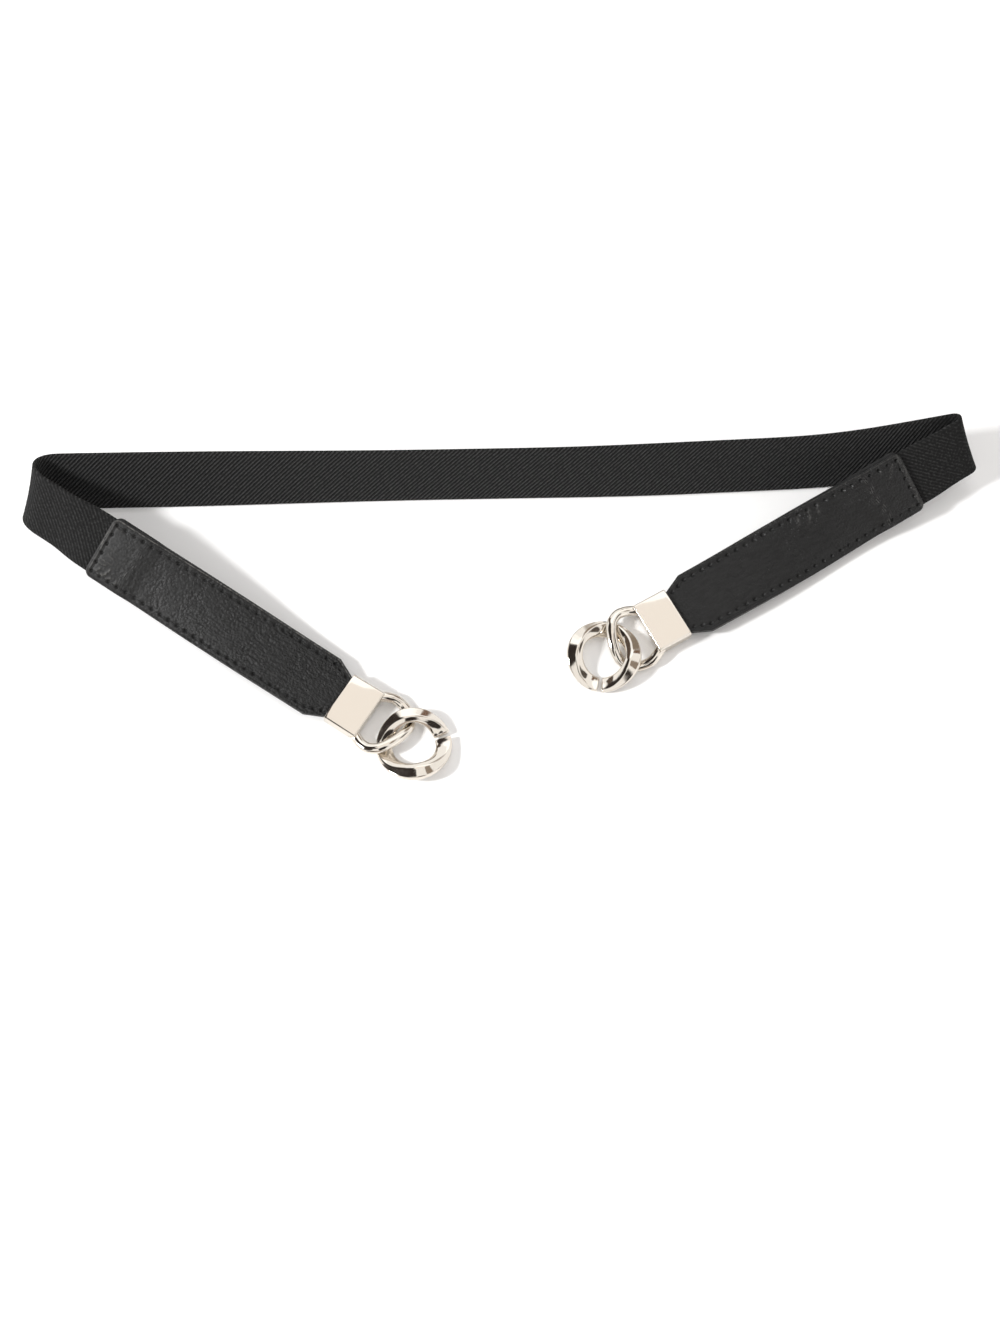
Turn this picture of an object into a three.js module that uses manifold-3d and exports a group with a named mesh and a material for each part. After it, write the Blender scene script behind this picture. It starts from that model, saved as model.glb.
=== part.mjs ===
// Elastic belt: a twill elastic band with a two-layer leather tab at each end, and on each tab a cast cap
// with half a curb link, which carries a twisted, slit curb ring. The belt lies open on a surface: its back
// run leans back on its lower edge, and both ends come round to the front with their outer face up.
// Millimetres, +Z up, +X to the right of the belt, +Y away from its front.
import * as THREE from "three";
import { mergeVertices } from "three/addons/utils/BufferGeometryUtils.js";
import Module from "manifold-3d";

const wasm = await Module();
wasm.setup();

// Driving sizes.
const GAP = 0.3;
const ELASTIC = { width: 23, thickness: 1.4, edge: 0.4, hidden: 15 };
const LEATHER = { width: 25, layer: 1.0, edge: 0.25, corner: 3, ramp: 6 };
const TIP = { width: 17.8, chamfer: 7.5, inside: 9.5 };
const CAP = { length: 13.5, width: 20.4, height: 5.6, round: 1.3, bevel: 0.5 };
const POCKET = { depth: 10.3, width: 18.7, height: 3.0 };
const RING = { radius: 10.85, band: 5.9, thickness: 2.9, rise: 1.9, bank: 12, slit: 1.2, slitAngle: 52 };
const RING_PLACE = { left: { out: 19.4, across: 0, height: 3.32 }, right: { out: 18.6, across: 0.8, height: 3.32 } };
const ROD = { width: 3.9, thickness: 2.9 };

// The middle of the back run: its lower edge stands on the surface and its upper edge leans back.
const START = { x: -6, y: 67.2, lean: 60, heading: 1.1 };

// One row for each stretch of strap, from the middle of the back run to an end. Turns are in degrees: bend
// turns the strap towards its inner face, twist turns its upper edge towards the outer face, and sway curves
// it edgewise towards the upper edge.
const LEFT_STRETCHES = [
  { name: "back run", length: 155.4, bend: 0, twist: 10, sway: 0 },
  { name: "bend", length: 31.2, bend: 155.5, twist: -36.9, sway: 2.4 },
  { name: "elastic front", length: 21, bend: 0.5, twist: -16.3, sway: -0.8 },
  { name: "tab", length: 106, bend: -4.1, twist: -29.2, sway: 0.4 },
  { name: "cap", length: CAP.length, bend: 0, twist: 0, sway: 0 },
];
const RIGHT_STRETCHES = [
  { name: "back run", length: 95, bend: -1.5, twist: 4, sway: 1 },
  { name: "rise", length: 80.7, bend: 0, twist: 4.7, sway: 8.7 },
  { name: "fold", length: 12.3, bend: 165.9, twist: -22.6, sway: 0.3 },
  { name: "elastic front", length: 20, bend: 0, twist: -8, sway: 0 },
  { name: "tab", length: 101, bend: -6, twist: -38.2, sway: 1.7 },
  { name: "cap", length: CAP.length, bend: 0, twist: 0, sway: 0 },
];

// The half link's centre line, from one front corner of the cap to the other: it passes over the ring on one
// side, turns down through the ring's hole and comes back under it.
const HALF_LINK = [
  { out: -1.6, across: -8.4, height: 0 },
  { out: 0.6, across: -9.3, height: 0.1 },
  { out: 3.3, across: -10.3, height: 0.6 },
  { out: 6.6, across: -10.3, height: 1.4 },
  { out: 9.9, across: -8.3, height: 2.1 },
  { out: 12.4, across: -4.2, height: 2.1 },
  { out: 13.9, across: 0.9, height: 1.1 },
  { out: 13.9, across: 5.4, height: -0.4 },
  { out: 11.6, across: 9, height: -1.1 },
  { out: 8, across: 10.6, height: -1.1 },
  { out: 4.2, across: 11, height: -0.5 },
  { out: 1, across: 9.9, height: 0 },
  { out: -1.6, across: 8.4, height: 0 },
];

const WALK_STEP = 0.5;
const radians = THREE.MathUtils.degToRad;

const elasticFinish = new THREE.MeshStandardMaterial({ color: 0x232324, roughness: 0.85, metalness: 0 });
const leatherFinish = new THREE.MeshStandardMaterial({ color: 0x2d2d2e, roughness: 0.5, metalness: 0 });
const backingFinish = new THREE.MeshStandardMaterial({ color: 0x262627, roughness: 0.6, metalness: 0 });
const nickelFinish = new THREE.MeshStandardMaterial({ color: 0xd9d3c8, roughness: 0.15, metalness: 1 });

// The strap's mid surface, walked in short steps. A step turns the frame of three unit vectors: along the
// strap, up its width, and out of its outer face. Each stretch's turns come in and fade out as 1 - cos.
function walkStrap(stretches, towards) {
  const heading = radians(START.heading);
  const lean = radians(START.lean);
  const right = new THREE.Vector3(Math.cos(heading), Math.sin(heading), 0);
  const back = new THREE.Vector3(-Math.sin(heading), Math.cos(heading), 0);
  const up = back.clone().multiplyScalar(Math.cos(lean)).addScaledVector(new THREE.Vector3(0, 0, 1), Math.sin(lean));
  const along = right.clone().multiplyScalar(towards);
  const outer = up.clone().cross(right);
  const place = new THREE.Vector3(START.x, START.y, 0).addScaledVector(up, ELASTIC.width / 2);
  const frames = [{ s: 0, place: place.clone(), along: along.clone(), up: up.clone(), outer: outer.clone() }];
  let s = 0;
  for (const stretch of stretches) {
    const steps = Math.round(stretch.length / WALK_STEP);
    const length = stretch.length / steps;
    for (let i = 0; i < steps; i++) {
      const share = (1 - Math.cos((2 * Math.PI * (i + 0.5)) / steps)) / steps;
      const turned = along
        .clone()
        .addScaledVector(outer, -radians(stretch.bend) * share)
        .addScaledVector(up, radians(stretch.sway) * share)
        .normalize();
      up.addScaledVector(outer, radians(stretch.twist) * share).addScaledVector(along, -radians(stretch.sway) * share);
      up.addScaledVector(turned, -up.dot(turned)).normalize();
      place.addScaledVector(along, length / 2).addScaledVector(turned, length / 2);
      along.copy(turned);
      outer.copy(up).cross(along).multiplyScalar(towards);
      s += length;
      frames.push({ s, place: place.clone(), along: along.clone(), up: up.clone(), outer: outer.clone() });
    }
  }
  return frames;
}

const strap = { left: walkStrap(LEFT_STRETCHES, -1), right: walkStrap(RIGHT_STRETCHES, 1) };

// The frame at a distance from the middle of the back run, between the two nearest steps.
function frameAt(side, distance) {
  const frames = strap[side];
  let i = 1;
  while (i < frames.length - 1 && frames[i].s < distance) i++;
  const before = frames[i - 1];
  const after = frames[i];
  const t = (distance - before.s) / (after.s - before.s);
  return {
    place: before.place.clone().lerp(after.place, t),
    along: before.along.clone().lerp(after.along, t).normalize(),
    up: before.up.clone().lerp(after.up, t).normalize(),
    outer: before.outer.clone().lerp(after.outer, t).normalize(),
  };
}

// The distance from the middle of the back run at which a stretch starts.
function startOf(stretches, name) {
  let s = 0;
  for (const stretch of stretches) {
    if (stretch.name === name) return s;
    s += stretch.length;
  }
  throw new Error(`no stretch is called ${name}`);
}

const STRETCHES = { left: LEFT_STRETCHES, right: RIGHT_STRETCHES };
const tabStart = (side) => startOf(STRETCHES[side], "tab");
const capStart = (side) => startOf(STRETCHES[side], "cap");

// A closed solid through a row of equal loops of points. Each loop runs anticlockwise seen from the end
// that the row runs to. The second half of each loop has its quads cut along the other diagonal, so that two
// layers that face each other across a twisted gap stay parallel.
function skin(loops) {
  const count = loops[0].length;
  const points = loops.flat();
  const triangles = [];
  for (let i = 0; i + 1 < loops.length; i++) {
    for (let j = 0; j < count; j++) {
      const a = i * count + j;
      const b = i * count + ((j + 1) % count);
      if (j < count / 2) triangles.push(a, b, b + count, a, b + count, a + count);
      else triangles.push(a, b, a + count, b, b + count, a + count);
    }
  }
  const last = (loops.length - 1) * count;
  for (let j = 1; j + 1 < count; j++) {
    triangles.push(0, j + 1, j, last, last + j, last + j + 1);
  }
  const geometry = new THREE.BufferGeometry().setFromPoints(points);
  geometry.setIndex(triangles);
  geometry.computeVertexNormals();
  return geometry;
}

// A flat strap's section: a rectangle with its four corners cut by the edge size, as [out, up] pairs that
// run anticlockwise about the left-to-right direction.
function strapSection(width, thickness, edge) {
  const [w, t] = [width / 2, thickness / 2];
  return [
    [t, -w + edge],
    [t, w - edge],
    [t - edge, w],
    [-t + edge, w],
    [-t, w - edge],
    [-t, -w + edge],
    [-t + edge, -w],
    [t - edge, -w],
  ];
}

// The section's points at one frame, moved out of the mid surface by an offset.
function strapLoop(frame, section, offset) {
  return section.map(([out, up]) =>
    frame.place.clone().addScaledVector(frame.outer, out + offset).addScaledVector(frame.up, up),
  );
}

// Distances from a start to an end, with short spaces in the stretches that bend hard.
function stations(side, from, to) {
  const list = [from];
  let s = 0;
  for (const stretch of STRETCHES[side]) {
    const space = Math.abs(stretch.bend) > 90 ? 1.2 : stretch.name === "back run" ? 9 : 5;
    const parts = Math.ceil(stretch.length / space);
    for (let i = 1; i <= parts; i++) {
      const here = s + (stretch.length * i) / parts;
      if (here > from + 0.4 && here < to - 0.4) list.push(here);
    }
    s += stretch.length;
  }
  return [...list, to];
}

// The elastic: one strip from inside the left tab, round the back, to inside the right tab.
function elasticBand() {
  const section = strapSection(ELASTIC.width, ELASTIC.thickness, ELASTIC.edge);
  const run = (side) =>
    stations(side, 0, tabStart(side) + ELASTIC.hidden).map((s) => strapLoop(frameAt(side, s), section, 0));
  return skin([...run("left").reverse(), ...run("right").slice(1)]);
}

// The tab's width at a distance from its elastic end: round corners, then full width, then two chamfers
// down to the tip that goes into the cap.
function tabWidth(side, fromEnd) {
  const { width, corner } = LEATHER;
  const toCap = capStart(side) - tabStart(side) - fromEnd;
  const into = Math.max(0, corner - fromEnd);
  const rounded = width - 2 * (corner - Math.sqrt(corner * corner - into * into));
  const chamfered = TIP.width + (width - TIP.width) * THREE.MathUtils.clamp(toCap / TIP.chamfer, 0, 1);
  return Math.min(rounded, chamfered);
}

// How far a layer's middle lies from the mid surface: over the elastic's hidden end, and closer after it.
function layerOffset(fromEnd) {
  const over = ELASTIC.thickness / 2 + GAP + LEATHER.layer / 2;
  const bare = GAP / 2 + LEATHER.layer / 2;
  const t = THREE.MathUtils.smoothstep(fromEnd, ELASTIC.hidden + 1, ELASTIC.hidden + 1 + LEATHER.ramp);
  return THREE.MathUtils.lerp(over, bare, t);
}

// One leather layer of a tab, on the outer face (+1) or the inner face (-1) of the strap.
function tabLayer(side, face) {
  const start = tabStart(side);
  const end = capStart(side) + TIP.inside;
  const marks = [0, 0.3, 1, 2, 3, 9, ELASTIC.hidden, ELASTIC.hidden + 2, ELASTIC.hidden + 4, ELASTIC.hidden + 7];
  const length = capStart(side) - start;
  const rest = [];
  const first = ELASTIC.hidden + 7;
  const parts = 12;
  for (let i = 1; i <= parts; i++) rest.push(first + ((length - TIP.chamfer - first) * i) / parts);
  const list = [...marks, ...rest, length, end - start];
  const loops = list.map((fromEnd) => {
    const frame = frameAt(side, start + fromEnd);
    const section = strapSection(tabWidth(side, fromEnd), LEATHER.layer, LEATHER.edge);
    return strapLoop(frame, section, face * layerOffset(fromEnd));
  });
  return skin(side === "left" ? loops.reverse() : loops);
}

// A geometry as a manifold solid, and back.
function toSolid(geometry) {
  const bare = geometry.index ? geometry.toNonIndexed() : geometry.clone();
  bare.deleteAttribute("normal");
  bare.deleteAttribute("uv");
  const merged = mergeVertices(bare, 1e-4);
  return new wasm.Manifold(
    new wasm.Mesh({
      numProp: 3,
      vertProperties: new Float32Array(merged.attributes.position.array),
      triVerts: new Uint32Array(merged.index.array),
    }),
  );
}

function toGeometry(solid) {
  const mesh = solid.getMesh();
  const geometry = new THREE.BufferGeometry();
  geometry.setAttribute("position", new THREE.BufferAttribute(mesh.vertProperties, 3));
  geometry.setIndex(new THREE.BufferAttribute(mesh.triVerts, 1));
  geometry.computeVertexNormals();
  return geometry;
}

// A rectangle with round corners as a shape to extrude.
function roundedRectangle(width, height, radius) {
  const [w, h] = [width / 2, height / 2];
  const shape = new THREE.Shape();
  shape.moveTo(-w + radius, -h);
  shape.lineTo(w - radius, -h);
  shape.absarc(w - radius, -h + radius, radius, -Math.PI / 2, 0);
  shape.lineTo(w, h - radius);
  shape.absarc(w - radius, h - radius, radius, 0, Math.PI / 2);
  shape.lineTo(-w + radius, h);
  shape.absarc(-w + radius, h - radius, radius, Math.PI / 2, Math.PI);
  shape.lineTo(-w, -h + radius);
  shape.absarc(-w + radius, -h + radius, radius, Math.PI, 1.5 * Math.PI);
  return shape;
}

// Turns a solid that was extruded up Z, with its width on X and height on Y, to run along +X.
function layAlong(geometry, from) {
  const axes = new THREE.Matrix4().makeBasis(
    new THREE.Vector3(0, 1, 0),
    new THREE.Vector3(0, 0, 1),
    new THREE.Vector3(1, 0, 0),
  );
  return geometry.applyMatrix4(axes).translate(from, 0, 0);
}

// A rounded metal section of twelve points: an ellipse, as [across, thick] pairs.
function metalSection(width, thickness) {
  const sides = 12;
  return Array.from({ length: sides }, (_, i) => {
    const angle = (2 * Math.PI * (i + 0.5)) / sides;
    return [(Math.cos(angle) * width) / 2, (Math.sin(angle) * thickness) / 2];
  });
}

// The half link: its section follows the centre line and stays level across.
function halfLink() {
  const line = new THREE.CatmullRomCurve3(
    HALF_LINK.map((row) => new THREE.Vector3(row.out, row.across, row.height)),
    false,
    "catmullrom",
    0.5,
  );
  const section = metalSection(ROD.width, ROD.thickness);
  const steps = 36;
  const loops = [];
  for (let i = 0; i <= steps; i++) {
    const place = line.getPoint(i / steps);
    const along = line.getTangent(i / steps);
    const across = new THREE.Vector3(0, 0, 1).cross(along).normalize();
    const thick = along.clone().cross(across);
    loops.push(section.map(([a, t]) => place.clone().addScaledVector(across, a).addScaledVector(thick, t)));
  }
  return skin(loops);
}

// The cap with its half link, in the cap's own frame: X runs out of its front face at X = 0, Y across, Z out
// of its outer face. Its pocket opens to the back.
function endCap() {
  const { length, width, height, round, bevel } = CAP;
  const body = new THREE.ExtrudeGeometry(roundedRectangle(width, height, round), {
    depth: length - 2 * bevel,
    bevelSize: bevel,
    bevelOffset: -bevel,
    bevelThickness: bevel,
    bevelSegments: 2,
    curveSegments: 3,
  });
  const overrun = 1;
  const pocket = new THREE.BoxGeometry(POCKET.depth + overrun, POCKET.width, POCKET.height);
  pocket.translate(-length + (POCKET.depth - overrun) / 2, 0, 0);
  const outside = toSolid(layAlong(body, -length + bevel));
  return toGeometry(outside.add(toSolid(halfLink())).subtract(toSolid(pocket)));
}

// The ring, flat about its own centre: its centre line rises and dips twice a turn, its outer edge lifts
// where it is high, and a narrow slit opens it.
function ring() {
  const section = metalSection(RING.band, RING.thickness);
  const half = RING.slit / 2 / RING.radius;
  const from = radians(RING.slitAngle) + half;
  const turn = 2 * Math.PI - 2 * half;
  const steps = 44;
  const loops = [];
  for (let i = 0; i <= steps; i++) {
    const angle = from + (turn * i) / steps;
    const wave = -Math.sin(2 * angle);
    const bank = radians(RING.bank) * wave;
    const radial = new THREE.Vector3(Math.cos(angle), Math.sin(angle), 0);
    const place = radial.clone().multiplyScalar(RING.radius).setZ(RING.rise * wave);
    const across = radial.clone().multiplyScalar(Math.cos(bank)).setZ(Math.sin(bank));
    const thick = radial.clone().multiplyScalar(-Math.sin(bank)).setZ(Math.cos(bank));
    loops.push(section.map(([a, t]) => place.clone().addScaledVector(across, -a).addScaledVector(thick, t)));
  }
  return skin(loops);
}

// The cap's group: at the end of the strap, turned with it.
function capGroup(side) {
  const end = frameAt(side, capStart(side) + CAP.length);
  const across = end.outer.clone().cross(end.along);
  const group = new THREE.Group();
  group.applyMatrix4(new THREE.Matrix4().makeBasis(end.along, across, end.outer).setPosition(end.place));
  return group;
}

// The ring's group: flat on the surface, in front of the cap.
function ringGroup(side) {
  const end = frameAt(side, capStart(side) + CAP.length);
  const out = end.along.clone().setZ(0).normalize();
  const across = new THREE.Vector3(0, 0, 1).cross(out);
  const spot = RING_PLACE[side];
  const place = end.place.clone().addScaledVector(out, spot.out).addScaledVector(across, spot.across);
  place.setZ(spot.height);
  const group = new THREE.Group();
  group.applyMatrix4(new THREE.Matrix4().makeBasis(out, across, new THREE.Vector3(0, 0, 1)).setPosition(place));
  return group;
}

function named(name, geometry, material) {
  const mesh = new THREE.Mesh(geometry, material);
  mesh.name = name;
  return mesh;
}

const belt = new THREE.Group();
belt.add(named("elastic_band", elasticBand(), elasticFinish));
for (const side of ["left", "right"]) {
  belt.add(named(`${side}_tab_front`, tabLayer(side, 1), leatherFinish.clone()));
  belt.add(named(`${side}_tab_back`, tabLayer(side, -1), backingFinish.clone()));
  const cap = capGroup(side);
  cap.add(named(`${side}_end_cap`, endCap(), nickelFinish.clone()));
  const loose = ringGroup(side);
  loose.add(named(`${side}_ring`, ring(), nickelFinish.clone()));
  belt.add(cap, loose);
}

// The frame's origin lies under the middle of the belt's box.
const box = new THREE.Box3().setFromObject(belt, true);
belt.position.set(-(box.min.x + box.max.x) / 2, -(box.min.y + box.max.y) / 2, -box.min.z);

export default belt;
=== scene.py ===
"""Looks of the elastic belt: woven elastic, two leather tabs, polished caps with half links, twisted rings.

Lengths in this script are millimetres until a mesh is made. +Z is up and +Y is away from the belt's front."""

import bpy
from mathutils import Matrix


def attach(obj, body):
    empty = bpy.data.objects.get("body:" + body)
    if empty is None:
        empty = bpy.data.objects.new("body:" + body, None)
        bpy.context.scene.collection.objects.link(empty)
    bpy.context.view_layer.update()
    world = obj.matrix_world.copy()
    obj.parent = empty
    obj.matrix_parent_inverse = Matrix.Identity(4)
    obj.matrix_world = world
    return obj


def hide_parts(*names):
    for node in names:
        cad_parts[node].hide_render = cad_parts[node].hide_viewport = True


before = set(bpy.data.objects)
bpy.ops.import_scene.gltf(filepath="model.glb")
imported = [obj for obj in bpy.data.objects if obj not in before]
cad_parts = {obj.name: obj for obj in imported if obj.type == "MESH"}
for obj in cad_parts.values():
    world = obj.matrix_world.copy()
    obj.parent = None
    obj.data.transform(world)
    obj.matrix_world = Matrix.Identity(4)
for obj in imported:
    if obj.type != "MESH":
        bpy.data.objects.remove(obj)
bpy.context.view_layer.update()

import math

import bpy
import numpy as np
from mathutils import Vector

MM = 0.001

# The belt's sizes, the same as the solids have.
ELASTIC_WIDTH, ELASTIC_THICKNESS, ELASTIC_HIDDEN = 23.0, 1.4, 15.0
TAB_WIDTH, TAB_CORNER = 25.0, 3.0
TIP_WIDTH, TIP_CHAMFER, TIP_INSIDE = 17.8, 7.5, 9.5
CAP_LENGTH, CAP_WIDTH, CAP_HEIGHT = 13.5, 20.4, 5.6
POCKET_DEPTH, POCKET_WIDTH, POCKET_HEIGHT = 10.3, 18.7, 3.0
RING_RADIUS, RING_BAND, RING_THICKNESS, RING_RISE, RING_BANK = 10.85, 5.9, 2.9, 1.9, 5.0
RING_SLIT, RING_SLIT_ANGLE = 1.2, 52.0
ROD_WIDTH, ROD_THICKNESS = 3.9, 2.9

# The rings' middles: ahead of the cap's front, beside its middle, and above the floor.
RING_PLACE = {"left": (19.4, 0.0, 3.32), "right": (18.6, 0.8, 3.32)}

# Each stretch of strap from the middle of the back run: its length, and its bend, twist and sway in degrees.
# The last two are the leather in sight and the cap.
STRETCHES = {
    "left": [(155.4, 0, 10, 0), (31.2, 155.5, -36.9, 2.4), (21, 0.5, -16.3, -0.8), (106, -4.1, -29.2, 0.4),
             (13.5, 0, 0, 0)],
    "right": [(95, -1.5, 4, 1), (80.7, 0, 4.7, 8.7), (12.3, 165.9, -22.6, 0.3), (20, 0, -8, 0),
              (101, -6, -38.2, 1.7), (13.5, 0, 0, 0)],
}
SIGN = {"left": -1, "right": 1}
TAB_START = {side: sum(row[0] for row in rows[:-2]) for side, rows in STRETCHES.items()}
TAB_LENGTH = {side: rows[-2][0] for side, rows in STRETCHES.items()}
FOLD_AT = sum(row[0] for row in STRETCHES["right"][:2]) + STRETCHES["right"][2][0] / 2

# Puts the middle of the belt's box over the origin, and its lowest point just above the floor.
TO_ORIGIN = np.array([-0.0006, -23.0229, 0.15])
START = np.array([-6.0, 67.2, 0.0]) + TO_ORIGIN
START_LEAN, START_HEADING = math.radians(60), math.radians(1.1)
WALK_STEP = 0.5

# The half link's centre line in the cap's frame: out of the cap's front, across it, and up from its middle.
HALF_LINK = np.array([
    (-1.6, -8.4, 0), (0.6, -9.3, 0.1), (3.3, -10.3, 0.6), (6.6, -10.3, 1.4), (9.9, -8.3, 2.1),
    (12.4, -4.2, 2.1), (13.9, 0.9, 1.1), (13.9, 5.4, -0.4), (11.6, 9, -1.1), (8, 10.6, -1.1),
    (4.2, 11, -0.5), (1, 9.9, 0), (-1.6, 8.4, 0)])
LINK_MIDDLE = 5.5


def unit(vectors):
    """Vectors divided by their own length."""
    return vectors / np.linalg.norm(vectors, axis=-1, keepdims=True)


def smooth(x, low, high):
    """0 below low, 1 above high, and 3f^2 - 2f^3 between them."""
    f = np.clip((x - low) / (high - low), 0, 1)
    return f * f * (3 - 2 * f)


def bell(x, width):
    """A bell curve: 1 at 0, and e to the minus (x / width) squared on both sides."""
    return np.exp(-(x / width) ** 2)


# The strap's path

def walk_strap(side):
    """The strap's middle line in steps of about half a millimetre, with its width and outer directions.

    A step turns the direction along the strap towards its inner face by the bend and up its width by the
    sway, and turns the width direction outwards by the twist. Each stretch spreads its turns as one minus a
    cosine."""
    right = np.array([math.cos(START_HEADING), math.sin(START_HEADING), 0])
    back = np.array([-math.sin(START_HEADING), math.cos(START_HEADING), 0])
    up = math.cos(START_LEAN) * back + math.sin(START_LEAN) * np.array([0, 0, 1])
    along, outer = right * SIGN[side], np.cross(up, right)
    place, s = START + up * ELASTIC_WIDTH / 2, 0.0
    rows = [(s, place, along, up, outer)]
    for length, *turns in STRETCHES[side]:
        bend, twist, sway = np.radians(turns)
        steps = round(length / WALK_STEP)
        for i in range(steps):
            share = (1 - math.cos(2 * math.pi * (i + 0.5) / steps)) / steps
            turned = unit(along - outer * bend * share + up * sway * share)
            up = up + outer * twist * share - along * sway * share
            up = unit(up - turned * (up @ turned))
            place = place + (along + turned) * length / steps / 2
            along, s = turned, s + length / steps
            outer = np.cross(up, along) * SIGN[side]
            rows.append((s, place, along, up, outer))
    return [np.array(column) for column in zip(*rows)]


WALKS = {side: walk_strap(side) for side in SIGN}
STRAP_S = np.concatenate([-WALKS["left"][0][:0:-1], WALKS["right"][0]])
STRAP_PLACE, STRAP_UP, STRAP_OUTER = (
    np.concatenate([WALKS["left"][k][:0:-1], WALKS["right"][k]]) for k in (1, 3, 4))


def on_strap(s, out, up):
    """Points at signed lengths s along the strap, out of its outer face by out and up its width by up."""
    s, out, up = np.broadcast_arrays(s, out, up)
    place, outer, width = (np.stack([np.interp(s, STRAP_S, track[:, k]) for k in range(3)], axis=-1)
                           for track in (STRAP_PLACE, STRAP_OUTER, STRAP_UP))
    return place + unit(outer) * out[..., None] + unit(width) * up[..., None]


# Meshes from grids

def corner_uv(uv):
    """The UV of every face corner of closed_surface, from one for each point of the grid: the quads first,
    then the fans over the first and the last rows, whose middles take the mean of their row."""
    ring = np.concatenate([uv, uv[:, :, :1]], axis=2)
    here, beside = ring[:, :, :-1], ring[:, :, 1:]
    quads = np.stack([here[:, :-1], beside[:, :-1], beside[:, 1:], here[:, 1:]], axis=3)
    flat = [quads.ravel()]
    fans = ((ring[:, 0], beside[:, 0], here[:, 0]), (ring[:, -1], here[:, -1], beside[:, -1]))
    for row, one, other in fans:
        middle = np.broadcast_to(row.mean(axis=1, keepdims=True), one.shape)
        flat.append(np.stack([middle, one, other], axis=2).ravel())
    return np.concatenate(flat)


def closed_surface(name, points, uv=None, extra=None):
    """A mesh through grids of points, shaped (pieces, rows, columns, 3), in millimetres.

    Quads join neighbouring rows and columns, the columns close round, and a fan of triangles closes each end.
    The columns run anticlockwise seen from the last row's side, so that the faces point outwards. extra is
    the name and the values of one more number for each point of the grid, for the material to use."""
    if points.ndim == 3:
        points, uv = points[None], None if uv is None else uv[None]
    pieces, rows, columns, _ = points.shape
    index = np.arange(pieces * rows * columns).reshape(pieces, rows, columns)
    beside = np.roll(index, -1, axis=2)
    quads = np.stack([index[:, :-1], beside[:, :-1], beside[:, 1:], index[:, 1:]], axis=-1).reshape(-1, 4)
    middles = points[:, [0, -1]].mean(axis=2)
    middle = points.size // 3 + np.arange(pieces * 2).reshape(pieces, 2, 1)
    first = np.stack([np.broadcast_to(middle[:, 0], index[:, 0].shape), beside[:, 0], index[:, 0]], axis=-1)
    last = np.stack([np.broadcast_to(middle[:, 1], index[:, -1].shape), index[:, -1], beside[:, -1]], axis=-1)
    fans = np.concatenate([first.reshape(-1, 3), last.reshape(-1, 3)])
    corners = np.concatenate([points.reshape(-1, 3), middles.reshape(-1, 3)]) * MM
    loops = np.concatenate([quads.ravel(), fans.ravel()]).astype(np.int32)
    sizes = np.concatenate([np.full(len(quads), 4), np.full(len(fans), 3)])
    mesh = bpy.data.meshes.new(name)
    mesh.vertices.add(len(corners))
    mesh.vertices.foreach_set("co", corners.astype(np.float32).ravel())
    mesh.loops.add(len(loops))
    mesh.loops.foreach_set("vertex_index", loops)
    mesh.polygons.add(len(sizes))
    mesh.polygons.foreach_set("loop_start", (np.cumsum(sizes) - sizes).astype(np.int32))
    mesh.update(calc_edges=True)
    if uv is not None:
        layer = mesh.uv_layers.new(name="strap_mm")
        layer.data.foreach_set("uv", corner_uv(uv).astype(np.float32))
    if extra is not None:
        label, values = extra
        values = np.append(values.ravel(), np.zeros(len(corners) - values.size))
        mesh.attributes.new(label, "FLOAT", "POINT").data.foreach_set("value", values.astype(np.float32))
    mesh.validate()
    mesh.shade_smooth()
    piece = bpy.data.objects.new(name, mesh)
    bpy.context.scene.collection.objects.link(piece)
    return piece


def place_piece(piece, material, slot, *nodes):
    """Gives a piece its material, lets it ride on the belt, and hides the solids it stands for.

    slot is not used.
    """
    piece.data.materials.clear()
    piece.data.materials.append(material)
    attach(piece, "root")
    if nodes:
        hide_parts(*nodes)


# Materials

def colour(text):
    """An sRGB hex colour as linear RGBA."""
    parts = [int(text[i:i + 2], 16) / 255 for i in (1, 3, 5)]
    return (*(p / 12.92 if p <= 0.04045 else ((p + 0.055) / 1.055) ** 2.4 for p in parts), 1.0)


def add(tree, kind, inputs=None, stops=(), **settings):
    """Adds one node: settings are its properties, inputs are socket values or (node, output) links, and stops
    are a colour ramp's (position, hex colour) pairs."""
    node = tree.nodes.new(kind)
    for key, value in settings.items():
        setattr(node, key, value)
    for key, value in (inputs or {}).items():
        if isinstance(value, tuple) and isinstance(value[0], bpy.types.Node):
            tree.links.new(value[0].outputs[value[1]], node.inputs[key])
        else:
            node.inputs[key].default_value = value
    for i, (position, text) in enumerate(stops):
        element = node.color_ramp.elements[i] if i < 2 else node.color_ramp.elements.new(position)
        element.position, element.color = position, colour(text)
    return node


def new_material(name):
    """An empty node material, and its tree."""
    material = bpy.data.materials.new(name)
    material.use_nodes = True
    material.node_tree.nodes.clear()
    return material, material.node_tree


# The twill, along the strap: from rib to rib, and from one float's end to the next.
TWILL_PITCH = 1.72
FLOAT_PITCH = TWILL_PITCH / 2

# How much the floats' ends and the fibres add to the ribs' height.
FLOAT_SHARE, FIBRE_SHARE = 0.22, 1.3


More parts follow.
